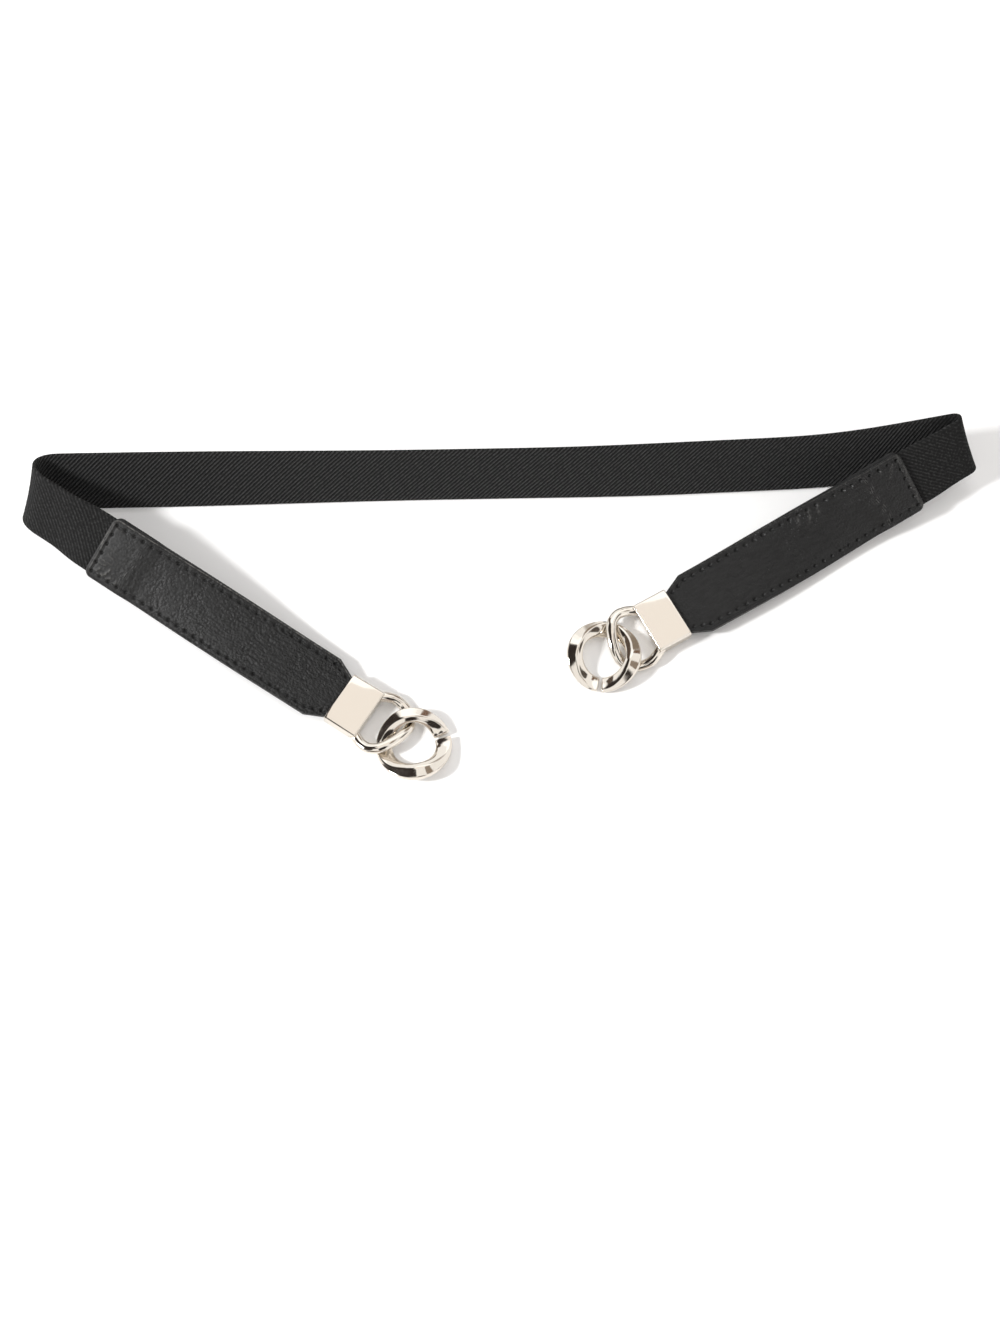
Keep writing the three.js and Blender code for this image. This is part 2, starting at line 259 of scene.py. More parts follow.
def woven_elastic():
    """Twill-woven polyester over rubber cords: matt, with slanting ribs of floats that catch a little light.

    The height is a cosine across the ribs, a weaker sine across the other diagonal for the floats' ends, and
    fibre noise. The first two fade where the attribute weave_height is low. The tone follows the height:
    painted shade in the grooves and painted light on the crests."""
    material, tree = new_material("twill_woven_elastic")
    strap = add(tree, "ShaderNodeUVMap", uv_map="strap_mm")
    stands = add(tree, "ShaderNodeAttribute", attribute_name="weave_height")
    per_rib, per_float = 2 * math.pi / TWILL_PITCH, 2 * math.pi / FLOAT_PITCH
    rib = add(tree, "ShaderNodeVectorMath", {0: (strap, "UV"), 1: (per_rib, -per_rib, 0)},
              operation="DOT_PRODUCT")
    crest = add(tree, "ShaderNodeMath", {0: (rib, "Value")}, operation="COSINE")
    faded = add(tree, "ShaderNodeMath", {0: (crest, 0), 1: (stands, "Fac")}, operation="MULTIPLY")
    ribs = add(tree, "ShaderNodeMapRange", {"Value": (faded, 0), "From Min": -1.0, "From Max": 1.0})
    ends = add(tree, "ShaderNodeVectorMath", {0: (strap, "UV"), 1: (per_float, per_float, 0)},
               operation="DOT_PRODUCT")
    end_wave = add(tree, "ShaderNodeMath", {0: (ends, "Value")}, operation="SINE")
    end_lift = add(tree, "ShaderNodeMapRange", {"Value": (end_wave, 0), "From Min": -1.0, "From Max": 1.0})
    floats = add(tree, "ShaderNodeMath", {0: (end_lift, 0), 1: (stands, "Fac")}, operation="MULTIPLY")
    thread = add(tree, "ShaderNodeMath", {0: (floats, 0), 1: FLOAT_SHARE, 2: (ribs, 0)},
                 operation="MULTIPLY_ADD")
    fibre = add(tree, "ShaderNodeTexNoise", {"Vector": (strap, "UV"), "Scale": 1.1, "Detail": 4.0},
                noise_dimensions="2D")
    height = add(tree, "ShaderNodeMath", {0: (fibre, "Fac"), 1: FIBRE_SHARE, 2: (thread, 0)},
                 operation="MULTIPLY_ADD")
    # Painted shade and light: darker in the grooves between the ribs, paler on their crests.
    tone = add(tree, "ShaderNodeMapRange", {"Value": (height, 0), "From Min": 0.35, "From Max": 2.0})
    shade = add(tree, "ShaderNodeValToRGB", {"Fac": (tone, 0)},
                [(0.0, "#060606"), (0.5, "#141414"), (1.0, "#3e3e3e")])
    bump = add(tree, "ShaderNodeBump", {"Strength": 0.7, "Distance": 0.0002, "Height": (height, 0)})
    shader = add(tree, "ShaderNodeBsdfPrincipled",
                 {"Base Color": (shade, "Color"), "Roughness": 0.85, "IOR": 1.5, "Specular IOR Level": 0.2,
                  "Normal": (bump, "Normal")})
    add(tree, "ShaderNodeOutputMaterial", {"Surface": (shader, 0)})
    return material


# Where the leather's grain begins and ends its change, along the strap from the middle of the back run.
GRAIN_FROM, GRAIN_TO = 210.0, 300.0


def tab_leather(name, cell, grain, creases, roughness, tones, worn):
    """Pigment-finished leather with an embossed grain: a low gloss, broken up by patches of small pebbles
    that glint and by short slanting creases.

    cell is a pebble's size in millimetres, drawn coarser than the real grain so that it still shows at the
    photograph's size. grain is how strongly all of it stands, at the elastic's end and at the cap, and
    creases is the creases' share. tones colour the creases' noise, which is also their height: painted shade
    in the creases and painted light on their ridges. The last argument is a paler tone that paints
    highlights, glints and some wear where the mesh's attribute asks for it."""
    material, tree = new_material(name)
    strap = add(tree, "ShaderNodeUVMap", uv_map="strap_mm")
    warp = add(tree, "ShaderNodeTexNoise", {"Vector": (strap, "UV"), "Scale": 0.9, "Detail": 2.0},
               noise_dimensions="2D")
    bent = add(tree, "ShaderNodeVectorMath", {0: (warp, "Color"), 1: (0.9, 0.9, 0.0), 2: (strap, "UV")},
               operation="MULTIPLY_ADD")
    patch = add(tree, "ShaderNodeTexNoise", {"Vector": (strap, "UV"), "Scale": 0.11, "Detail": 2.0},
                noise_dimensions="2D")
    pebbled = add(tree, "ShaderNodeMapRange",
                  {"Value": (patch, "Fac"), "From Min": 0.38, "From Max": 0.66, "To Min": 0.5, "To Max": 1.0})
    pebble = add(tree, "ShaderNodeTexVoronoi", {"Vector": (bent, 0), "Scale": 1 / cell},
                 voronoi_dimensions="2D", feature="SMOOTH_F1")
    dome = add(tree, "ShaderNodeMath", {0: (pebble, "Distance"), 1: (pebbled, 0)}, operation="MULTIPLY")
    slanted = add(tree, "ShaderNodeMapping",
                  {"Vector": (bent, 0), "Rotation": (0, 0, math.radians(-32)), "Scale": (0.28, 1.0, 1.0)})
    crease = add(tree, "ShaderNodeTexNoise",
                 {"Vector": (slanted, 0), "Scale": 0.8, "Detail": 3.0, "Roughness": 0.55},
                 noise_dimensions="2D")
    fold = add(tree, "ShaderNodeMath", {0: (crease, "Fac"), 1: creases}, operation="MULTIPLY")
    height = add(tree, "ShaderNodeMath", {0: (dome, 0), 1: -1.0, 2: (fold, 0)}, operation="MULTIPLY_ADD")
    along = add(tree, "ShaderNodeSeparateXYZ", {"Vector": (strap, "UV")})
    from_middle = add(tree, "ShaderNodeMath", {0: (along, "X")}, operation="ABSOLUTE")
    strength = add(tree, "ShaderNodeMapRange",
                   {"Value": (from_middle, 0), "From Min": GRAIN_FROM, "From Max": GRAIN_TO,
                    "To Min": grain[0], "To Max": grain[1]})
    relief = add(tree, "ShaderNodeMath", {0: (height, 0), 1: (strength, 0)}, operation="MULTIPLY")
    bump = add(tree, "ShaderNodeBump", {"Strength": 1.0, "Distance": 0.0006, "Height": (relief, 0)})
    # Painted shade and light: the creases' noise, which is also their height, sets the tone, darker in
    # creases.
    shade = add(tree, "ShaderNodeValToRGB", {"Fac": (crease, "Fac")}, tones)
    # Painted highlights, glints and some wear: where the attribute is high, the tone goes paler.
    highlight_wear_node = add(tree, "ShaderNodeAttribute", attribute_name="rubbed")
    broken = add(tree, "ShaderNodeMapRange",
                 {"Value": (warp, "Fac"), "From Min": 0.42, "From Max": 0.62, "To Min": 0.15})
    rubbed = add(tree, "ShaderNodeMath", {0: (highlight_wear_node, "Fac"), 1: (broken, 0)}, operation="MULTIPLY")
    tone = add(tree, "ShaderNodeMix", {0: (rubbed, 0), 6: (shade, "Color"), 7: colour(worn)},
               data_type="RGBA")
    gloss = add(tree, "ShaderNodeMapRange",
                {"Value": (pebbled, 0), "To Min": roughness, "To Max": roughness - 0.12})
    shader = add(tree, "ShaderNodeBsdfPrincipled",
                 {"Base Color": (tone, 2), "Roughness": (gloss, 0), "IOR": 1.5, "Specular IOR Level": 0.3,
                  "Normal": (bump, "Normal")})
    add(tree, "ShaderNodeOutputMaterial", {"Surface": (shader, 0)})
    return material


def sewing_thread():
    """Black bonded polyester thread: twisted, with a faint sheen. Its height is slanting waves, and its tone
    follows them: painted shade between the plies.
    """
    material, tree = new_material("black_polyester_thread")
    place = add(tree, "ShaderNodeTexCoord")
    ply = add(tree, "ShaderNodeTexWave", {"Vector": (place, "Object"), "Scale": 900.0, "Distortion": 1.5},
              bands_direction="DIAGONAL")
    bump = add(tree, "ShaderNodeBump", {"Strength": 0.4, "Distance": 0.0001, "Height": (ply, "Fac")})
    # Painted shade: darker between the plies, where the waves are low.
    shade = add(tree, "ShaderNodeValToRGB", {"Fac": (ply, "Fac")}, [(0.0, "#0e0e0e"), (1.0, "#1a1a1a")])
    shader = add(tree, "ShaderNodeBsdfPrincipled",
                 {"Base Color": (shade, "Color"), "Roughness": 0.5, "IOR": 1.5, "Specular IOR Level": 0.3,
                  "Normal": (bump, "Normal")})
    add(tree, "ShaderNodeOutputMaterial", {"Surface": (shader, 0)})
    return material


def plated_nickel():
    """Nickel-plated zinc casting: a mirror with a warm tint, faint polishing waves and patchy haze."""
    material, tree = new_material("polished_nickel_plate")
    place = add(tree, "ShaderNodeTexCoord")
    wave = add(tree, "ShaderNodeTexNoise", {"Vector": (place, "Object"), "Scale": 160.0, "Detail": 2.0})
    bump = add(tree, "ShaderNodeBump", {"Strength": 0.25, "Distance": 0.0002, "Height": (wave, "Fac")})
    haze = add(tree, "ShaderNodeTexNoise", {"Vector": (place, "Object"), "Scale": 900.0, "Detail": 3.0})
    gloss = add(tree, "ShaderNodeMapRange",
                {"Value": (haze, "Fac"), "From Min": 0.3, "From Max": 0.7, "To Min": 0.05, "To Max": 0.12})
    shader = add(tree, "ShaderNodeBsdfPrincipled",
                 {"Base Color": colour("#dcd5cb"), "Metallic": 1.0, "Roughness": (gloss, 0),
                  "Normal": (bump, "Normal")})
    add(tree, "ShaderNodeOutputMaterial", {"Surface": (shader, 0)})
    return material


twill = woven_elastic()
# The crease tones paint shade in the creases and light on their ridges; the pale tone paints highlights.
leather = {
    "left": tab_leather("pebbled_leather", cell=1.0, grain=(0.12, 1.1), creases=1.3, roughness=0.6,
                        tones=[(0.3, "#111111"), (0.7, "#1c1c1c")], worn="#5b5956"),
    "right": tab_leather("fine_grain_leather", cell=0.8, grain=(0.75, 0.3), creases=0.4, roughness=0.5,
                         tones=[(0.3, "#0f0f0f"), (0.7, "#191919")], worn="#5a5957"),
}
backing = tab_leather("leather_backing", cell=0.8, grain=(0.3, 0.3), creases=1.2, roughness=0.65,
                      tones=[(0.3, "#1c1c1c"), (0.7, "#262626")], worn="#2c2b29")
thread = sewing_thread()
nickel = plated_nickel()


# Elastic

ELASTIC_EDGE_RADIUS, ELASTIC_COLUMNS, EDGE_COLUMNS = 0.6, 19, 4
ROWS_PER_RIB = 6

# How far from the elastic's ends and fold the grid's rows turn from straight across to slanting.
SLANT_WITHIN = 17.0

# The ribs' height on the inner and the outer face, and how far inside the edges they begin to fade and end.
RIB_INNER, RIB_OUTER, RIB_FADES, RIB_ENDS = 0.28, 0.10, 1.3, 0.7

# How much of the ribs' height the fold takes away, and how far along the strap it reaches.
FOLD_FLATTENS, FOLD_REACH = 0.95, 14


def strap_section():
    """The elastic's section with round edges, as (out, up, face) columns: up the outer face, round the upper
    edge, then the same turned half way round. The columns stand a little closer towards the edges. face is +1
    outside, -1 inside and between them on the edges."""
    flat_half = ELASTIC_WIDTH / 2 - ELASTIC_EDGE_RADIUS
    even = np.linspace(-1, 1, ELASTIC_COLUMNS)
    flat = (0.35 * np.sin(even * np.pi / 2) + 0.65 * even) * flat_half
    bend = np.linspace(0, np.pi, EDGE_COLUMNS + 2)[1:-1]
    face = np.concatenate([np.ones(ELASTIC_COLUMNS), np.cos(bend)])
    up = np.concatenate([flat, flat_half + np.sin(bend) * ELASTIC_EDGE_RADIUS])
    face, up = np.append(face, -face), np.append(up, -up)
    return face * ELASTIC_THICKNESS / 2, up, face


def elastic_band():
    """The elastic: a flat section carried along the strap.

    Rows of the grid slant with the ribs, one across per one along, so that each rib is a raised line of the
    grid: a cosine of (along - across), sharpened. The ribs stand 0.28 mm on the inner face and 0.1 mm on the
    outer one, and stop short of the edges. At the fold the weave is drawn nearly flat, by a bell curve along
    the strap, and the rows run straight across."""
    out, up, face = strap_section()
    low, high = -TAB_START["left"] - ELASTIC_HIDDEN, TAB_START["right"] + ELASTIC_HIDDEN
    base = np.linspace(low, high, int((high - low) / (TWILL_PITCH / ROWS_PER_RIB)))[:, None]
    free = np.minimum(np.minimum(base - low, high - base), np.abs(base - FOLD_AT))
    s = base + up * np.clip(free / SLANT_WITHIN, 0, 1)
    rib = (0.5 + 0.5 * np.cos(2 * np.pi * (s - up) / TWILL_PITCH)) ** 0.6
    woven = 1 - smooth(np.abs(up), ELASTIC_WIDTH / 2 - RIB_FADES, ELASTIC_WIDTH / 2 - RIB_ENDS)
    stands = 1 - FOLD_FLATTENS * bell(s - FOLD_AT, FOLD_REACH)
    height = RIB_OUTER + (RIB_INNER - RIB_OUTER) * (1 - face) / 2
    lift = height * (rib - 0.6) * woven * stands * face
    shown = (0.72 - 0.28 * face) * (0.3 + 0.7 * stands)
    uv = np.stack([s, np.broadcast_to(up, s.shape)], axis=-1)
    return closed_surface("elastic_band_woven", on_strap(s, out + lift, up), uv, ("weave_height", shown))


place_piece(elastic_band(), twill, "elastic", "elastic_band")


# Leather tabs

# From the strap's middle to a layer's faces, over the elastic's hidden end and beyond it.
FACE_OVER_ELASTIC, FACE_BEYOND = 2.0, 1.15
UNDER_OVER_ELASTIC, UNDER_BEYOND = 0.75, 0.03

# The outline's roll, the creased line inside it, and the line on the roll that is painted as a highlight.
ROLL_RADIUS, CREASE_INSIDE, HIGHLIGHT_INSIDE = 0.45, 0.95, 0.65

# Heights on a visible face: the creased line, the swell between the seams, the folded strip at the elastic's
# end, the furrow along the seam, and the squeeze in the cap.
CREASE_DEPTH, SWELL_HEIGHT, STRIP_HEIGHT, FURROW_DEPTH, SQUEEZE_DEPTH = 0.14, 0.16, 0.16, 0.1, 0.1

# The seam: how far inside the sides, the elastic's end and the tip's sides it runs, how far before the
# chamfer it turns, and how far past the leather in sight it goes.
SEAM_INSIDE, SEAM_INSIDE_END, SEAM_INSIDE_TIP, SEAM_TURN, SEAM_PAST = 2.6, 2.2, 2.0, 0.8, 0.8
STITCH_PITCH, HOLE_RADIUS, HOLE_DEPTH = 3.8, 0.62, 0.75

# The thread: its radius, how deep its middle lies at a needle hole, and how far it rises between two.
THREAD_RADIUS, THREAD_SUNK, THREAD_RISE = 0.27, 0.34, 0.27

# The columns next to a tab's outline, as shares of its half width.
NEAR_OUTLINE = 1 - np.array([0, 0.004, 0.012, 0.022, 0.036, 0.049, 0.061, 0.073, 0.086, 0.1, 0.115])

# Creases that run right across a tab: place from its elastic end, lean, width and depth.
LONG_CREASES = {
    "left": [(12.0, 0.06, 0.5, 0.04), (17.4, 0.02, 0.6, 0.08), (20.2, -0.03, 0.8, 0.05),
             (27.0, -0.05, 0.9, 0.04)],
    "right": [(12.6, 0.1, 0.4, 0.05), (18.0, 0.1, 0.6, 0.05)],
}

# The ripples over the elastic's hidden end: their pitch, how far they spread from it, and their height.
RIPPLE_PITCH, RIPPLE_SPREAD = 0.8, 1.3
END_RIPPLE = {"left": 0.07, "right": 0.3}

# How much paler the folded strip at the elastic's end is painted, and how strong the painted highlight
# along the upper edge's roll is.
END_PALER = {"left": 0.2, "right": 0.35}
EDGE_HIGHLIGHT = {"left": 1.0, "right": 0.45}

# Short raised wrinkles: place along and up the tab, half length, turn in degrees, width and height, which
# WRINKLE_GAIN raises.
WRINKLE_GAIN = 1.6
WRINKLES = {
    "left": [(4.4, -8.2, 1.2, 60, 0.4, 0.16), (6.0, -9.4, 1.5, 25, 0.4, 0.2), (7.6, -8.4, 1.3, 70, 0.4, 0.14),
             (9.4, -9.2, 1.3, 40, 0.4, 0.12), (4.6, -5.6, 2.2, 8, 0.4, 0.09), (5.6, -4.0, 2.4, 2, 0.35, 0.09),
             (6.8, -1.6, 2.2, -6, 0.35, 0.07), (8.4, -6.2, 1.2, 80, 0.4, 0.1), (5.2, 1.2, 1.8, 5, 0.35, 0.06),
             (12.4, -9.4, 1.0, 50, 0.4, 0.09), (4.0, 8.8, 1.4, 10, 0.35, 0.1)],
    "right": [(5.0, 8.4, 1.6, -35, 0.4, 0.1), (6.2, 6.2, 1.8, -45, 0.35, 0.09),
              (9.6, 8.6, 1.2, -60, 0.4, 0.08), (4.0, -9.0, 1.0, 70, 0.4, 0.12),
              (36, 8.2, 2.0, -70, 0.6, 0.09), (40, 7.6, 2.6, -66, 0.6, 0.1),
              (44.5, 8.0, 2.2, -72, 0.6, 0.09)],
}


def tab_half_width(x, length):
    """Half the tab's width at x from its elastic end: round corners, full width, then chamfers to the tip."""
    into = np.maximum(0, TAB_CORNER - x)
    corner = TAB_WIDTH / 2 - (TAB_CORNER - np.sqrt(TAB_CORNER ** 2 - into ** 2))
    chamfer = (TIP_WIDTH + (TAB_WIDTH - TIP_WIDTH) * np.clip((length - x) / TIP_CHAMFER, 0, 1)) / 2
    return np.minimum(corner, chamfer)


def from_edge(x, up, length):
    """Distance to the tab's outline: to its sides, its end and round corners, or its chamfers."""
    side = TAB_WIDTH / 2 - np.abs(up)
    slope = (TAB_WIDTH - TIP_WIDTH) / 2 / TIP_CHAMFER
    tip = (tab_half_width(x, length) - np.abs(up)) / math.hypot(1, slope)
    inner = TAB_WIDTH / 2 - TAB_CORNER
    corner = np.where((x < TAB_CORNER) & (np.abs(up) > inner),
                      TAB_CORNER - np.hypot(TAB_CORNER - x, np.abs(up) - inner), np.minimum(side, x))
    return np.minimum(corner, np.where(x > length - TIP_CHAMFER, tip, np.inf))


def seam_line(length):
    """The seam as stitches between needle holes, (x, up), and its corners: along the lower chamfer and edge,
    across the end, and back. Each straight run is shared out evenly, at about the stitches' pitch."""
    side, tip = TAB_WIDTH / 2 - SEAM_INSIDE, TIP_WIDTH / 2 - SEAM_INSIDE_TIP
    turn, past = length - TIP_CHAMFER - SEAM_TURN, length + SEAM_PAST
    corners = np.array([(past, -tip), (turn, -side), (SEAM_INSIDE_END, -side),
                        (SEAM_INSIDE_END, side), (turn, side), (past, tip)])
    starts, ends = corners[:-1], corners[1:]
    counts = np.maximum(1, np.round(np.linalg.norm(ends - starts, axis=1) / STITCH_PITCH)).astype(int)
    rows = [a + (b - a) * np.linspace(0, 1, n + 1)[:, None] for a, b, n in zip(starts, ends, counts)]
    return np.concatenate([np.stack([row[:-1], row[1:]], axis=1) for row in rows]), corners


def to_segments(x, up, starts, ends):
    """Distance from points to the nearest of some straight pieces."""
    point = np.stack([x, up], axis=-1)[..., None, :]
    run = ends - starts
    f = np.clip(((point - starts) * run).sum(-1) / (run ** 2).sum(-1), 0, 1)
    return np.linalg.norm(point - starts - run * f[..., None], axis=-1).min(-1)


def tab_relief(side, x, up):
    """Heights of the leather's ripples, creases and wrinkles.

    Over the elastic's end it ripples: a raised cosine along the tab, in patches, inside a bell curve. Each
    crease or wrinkle is a bell curve across a wavering or bowed line, and a wrinkle fades past its ends."""
    end = x - ELASTIC_HIDDEN - 0.08 * up - 0.4 * np.sin(0.5 * up + 1)
    patches = np.clip(0.4 + 0.6 * np.sin(1.3 * up + 2.2 * np.sin(0.9 * x)), 0, 1)
    ripple = (0.5 + 0.5 * np.cos(2 * np.pi * end / RIPPLE_PITCH)) ** 1.5
    relief = END_RIPPLE[side] * patches * ripple * bell(end, RIPPLE_SPREAD)
    for place, lean, width, depth in LONG_CREASES[side]:
        line = place + lean * up + 0.35 * np.sin(0.55 * up + place)
        strength = 0.6 + 0.4 * np.sin(0.42 * up + 2 * place)
        relief -= depth * strength * bell(x - line, width)
    for along, high, reach, turn, width, height in WRINKLES[side]:
        c, s = math.cos(math.radians(turn)), math.sin(math.radians(turn))
        run, beside = (x - along) * c + (up - high) * s, (up - high) * c - (x - along) * s
        beside = beside - 0.08 * run ** 2 / reach
        relief += WRINKLE_GAIN * height * bell(beside, width) * np.exp(-(run / reach) ** 4)
    return relief


def tab_face(side, x, up):
    """How far a tab's visible face lies from the strap's middle.

    It lies over the elastic's hidden end and drops after it, rolls over at the outline with a creased line
    inside the roll, swells between the seams, and sinks along the seam and into each needle hole. The strip
    between the end and the seam is folded double, so it stands up. In the cap it is squeezed."""
    length = TAB_LENGTH[side]
    stitches, corners = seam_line(length)
    drop = smooth(x - 0.05 * up, ELASTIC_HIDDEN - 1, ELASTIC_HIDDEN + 8)
    base = FACE_OVER_ELASTIC + (FACE_BEYOND - FACE_OVER_ELASTIC) * drop
    d = np.clip(from_edge(x, up, length), 0, None)
    roll = ROLL_RADIUS - np.sqrt(np.maximum(0, ROLL_RADIUS ** 2 - np.maximum(0, ROLL_RADIUS - d) ** 2))
    line = CREASE_DEPTH * bell(d - CREASE_INSIDE, 0.25)
    seam = to_segments(x, up, corners[:-1], corners[1:])
    hole = np.linalg.norm(np.stack([x, up], axis=-1)[..., None, :] - stitches.reshape(-1, 2), axis=-1).min(-1)
    outside_cap = smooth(length - x, -0.5, 1.5)
    swell = SWELL_HEIGHT * smooth(d, 2.2, 7.5) * outside_cap
    turned = STRIP_HEIGHT * (1 - smooth(x, 1.3, 2.3)) * smooth(d, 0.2, 1.0)
    furrow, holes = FURROW_DEPTH * bell(seam, 0.6), HOLE_DEPTH * np.exp(-(hole / HOLE_RADIUS) ** 2.5)
    sink = (furrow + holes) * outside_cap
    squeeze = SQUEEZE_DEPTH * smooth(x, length - 1.5, length + 1.5)
    relief = tab_relief(side, x, up) * smooth(d, 0.6, 1.6)
    return base - roll - line + swell + turned - sink - squeeze + relief


def painted_highlight_and_wear(side, x, up):
    """How much paler the leather is painted, from 0 to 1: a painted highlight along the upper edge's roll,
    the folded strip at the elastic's end, and painted glints with some wear on the crests of ripples and
    wrinkles, whichever is most."""
    d = from_edge(x, up, TAB_LENGTH[side])
    # Painted highlight: the roll of the upper edge is painted paler.
    edge = EDGE_HIGHLIGHT[side] * bell(d - HIGHLIGHT_INSIDE, 0.17) * (up > 0) * smooth(d, 0, 0.3)
    # The folded strip at the elastic's end is painted paler.
    strip = END_PALER[side] * (1 - smooth(x, 1.2, 2.2)) * smooth(x, 0.1, 0.7)
    # Painted glints, with some wear: the crests of ripples and wrinkles are painted paler.
    crests = np.clip(2.5 * tab_relief(side, x, up), 0, 0.7)
    return np.maximum(np.maximum(edge, strip), crests)


def tab_layer(side, face, fine):
    """One leather layer: columns cross its visible face, go down its edge, cross its inner face and come
    back. Its points stand about fine millimetres apart, and closer at the elastic's end, over the ripples and
    at the outline."""
    total = TAB_LENGTH[side] + TIP_INSIDE
    x = np.unique(np.concatenate([np.linspace(0, 0.6, 9), np.linspace(0, 3, 19), np.linspace(12, 18, 46),
                                  np.linspace(3, total, int(total / fine))]))[:, None]
    half = tab_half_width(x, TAB_LENGTH[side])
    even = np.linspace(-1, 1, int(TAB_WIDTH / fine))
    up = np.unique(np.concatenate([even, NEAR_OUTLINE, -NEAR_OUTLINE])) * half
    inner_up = np.linspace(1, -1, 13) * half
    everywhere = np.broadcast_to(x, up.shape)
    outside = tab_face(side, everywhere, up)
    drop = smooth(x, ELASTIC_HIDDEN + 1, ELASTIC_HIDDEN + 7)
    inside = np.broadcast_to(UNDER_OVER_ELASTIC + (UNDER_BEYOND - UNDER_OVER_ELASTIC) * drop, inner_up.shape)
    edge_out = outside[:, -1:] + (inside[:, :1] - outside[:, -1:]) * np.array([0.34, 0.67])
    edge_up = np.broadcast_to(half, edge_out.shape)
    columns_out = np.concatenate([outside, edge_out, inside, edge_out[:, ::-1]], axis=1)
    columns_up = np.concatenate([up, edge_up, inner_up, -edge_up], axis=1)
    s = SIGN[side] * (TAB_START[side] + x + 0 * columns_up)
    # Painted highlights, glints and some wear on the visible face, for the leather's paler tone.
    rubbed = np.zeros(s.shape)
    rubbed[:, :up.shape[1]] = painted_highlight_and_wear(side, everywhere, up)
    points, uv = on_strap(s, columns_out * face, columns_up), np.stack([s, columns_up], axis=-1)
    rows, columns = slice(None, None, SIGN[side]), slice(None, None, face)
    name = f"{side}_tab_{'leather' if face > 0 else 'backing'}"
    return closed_surface(name, points[rows, columns], uv[rows, columns], ("rubbed", rubbed[rows, columns]))


def seam_stitches(side, face):
    """The seam's stitches: each is a round thread that rises out of one needle hole and goes into the next,
    by the root of a half sine, and is thinner at both ends. The stitches that reach into the cap are left
    out."""
    length = TAB_LENGTH[side]
    stitches, _ = seam_line(length)
    stitches = stitches[stitches[..., 0].max(1) < length + 0.6]
    start, end = stitches[:, 0, None, None], stitches[:, 1, None, None]
    f = np.linspace(0.10, 0.90, 8)[None, :, None, None]
    turn = np.linspace(0, 2 * np.pi, 7)[:-1][None, None, :, None]
    rise = np.sin(np.pi * (f - 0.06) / 0.88)
    thick = THREAD_RADIUS * (0.5 + 0.5 * rise)
    run = unit(end - start)
    beside = np.stack([-run[..., 1], run[..., 0]], axis=-1)
    middle = start + (end - start) * f + 0 * turn
    x, up = np.moveaxis(middle + beside * np.cos(turn) * thick, -1, 0)
    ground = tab_face(side, middle[..., 0], middle[..., 1])
    out = ground + (-THREAD_SUNK + THREAD_RISE * rise ** 0.5 + np.sin(turn) * thick)[..., 0]
    points = on_strap(SIGN[side] * (TAB_START[side] + x), out * face, up)
    columns = slice(None, None, SIGN[side] * face)
    return closed_surface(f"{side}_tab_stitches_{'front' if face > 0 else 'back'}", points[:, :, columns])


for side in SIGN:
    place_piece(tab_layer(side, face=1, fine=0.26), leather[side], "leather", f"{side}_tab_front")
    place_piece(tab_layer(side, face=-1, fine=0.6), backing, "backing", f"{side}_tab_back")
    place_piece(seam_stitches(side, face=1), thread, "leather")
    place_piece(seam_stitches(side, face=-1), thread, "backing")


# Metal

RING_ROWS, LINK_ROWS = 241, 150

# A curb section's ridge, as shares of its half width: where a high link has it, how far out it goes for a low
# one, by what power of the way, and how much it wavers.
RIDGE_HIGH, RIDGE_TRAVEL, RIDGE_POWER, RIDGE_WAVER = -0.29, 1.24, 1.6, 0.05

# How high the rims lie, as shares of the half thickness: the outer one's middle and swing, the inner one's
# swing. The last is how far the outer rim bulges.
RIM_MIDDLE, RIM_SWING, INNER_SWING, RIM_BULGE = 0.5, 0.27, 0.32, 0.15

# The ground facets thin a ring, so each side of its section is drawn this much fuller than the solid's.
RING_FULLER = 0.12

# The half link's section is most of the way from the curb section to an ellipse.
ROD_ROUNDNESS = 0.75

# How far a ring's ends are worn round at the slit, along the ring.
SLIT_WORN = 0.3

# The cap: the lip's and the front's rounding, the corners inside and outside, how far from the middle the
# broad faces begin to fall, and how far they fall at the front and at the mouth.
CAP_LIP, CAP_ROUND, POCKET_CORNER, CAP_CORNER = 0.3, 0.45, 0.35, 0.8
CROWN_FROM, CROWN_FRONT, CROWN_MOUTH = 4.8, 0.12, 0.57


def cap_axes(side):
    """The cap's frame: its front's middle, and its directions out, across and up as a matrix's columns."""
    _, place, along, _, outer = (column[-1] for column in WALKS[side])
    return place, np.stack([along, np.cross(outer, along), outer], axis=1)


def ring_axes(side):
    """The ring's frame: level, in front of the cap."""
    place, axes = cap_axes(side)
    out = unit(axes[:, 0] * (1, 1, 0))
    across = np.cross((0, 0, 1), out)
    ahead, beside, height = RING_PLACE[side]
    middle = place + out * ahead + across * beside
    middle[2] = height + TO_ORIGIN[2]
    return middle, np.stack([out, across, (0, 0, 1)], axis=1)


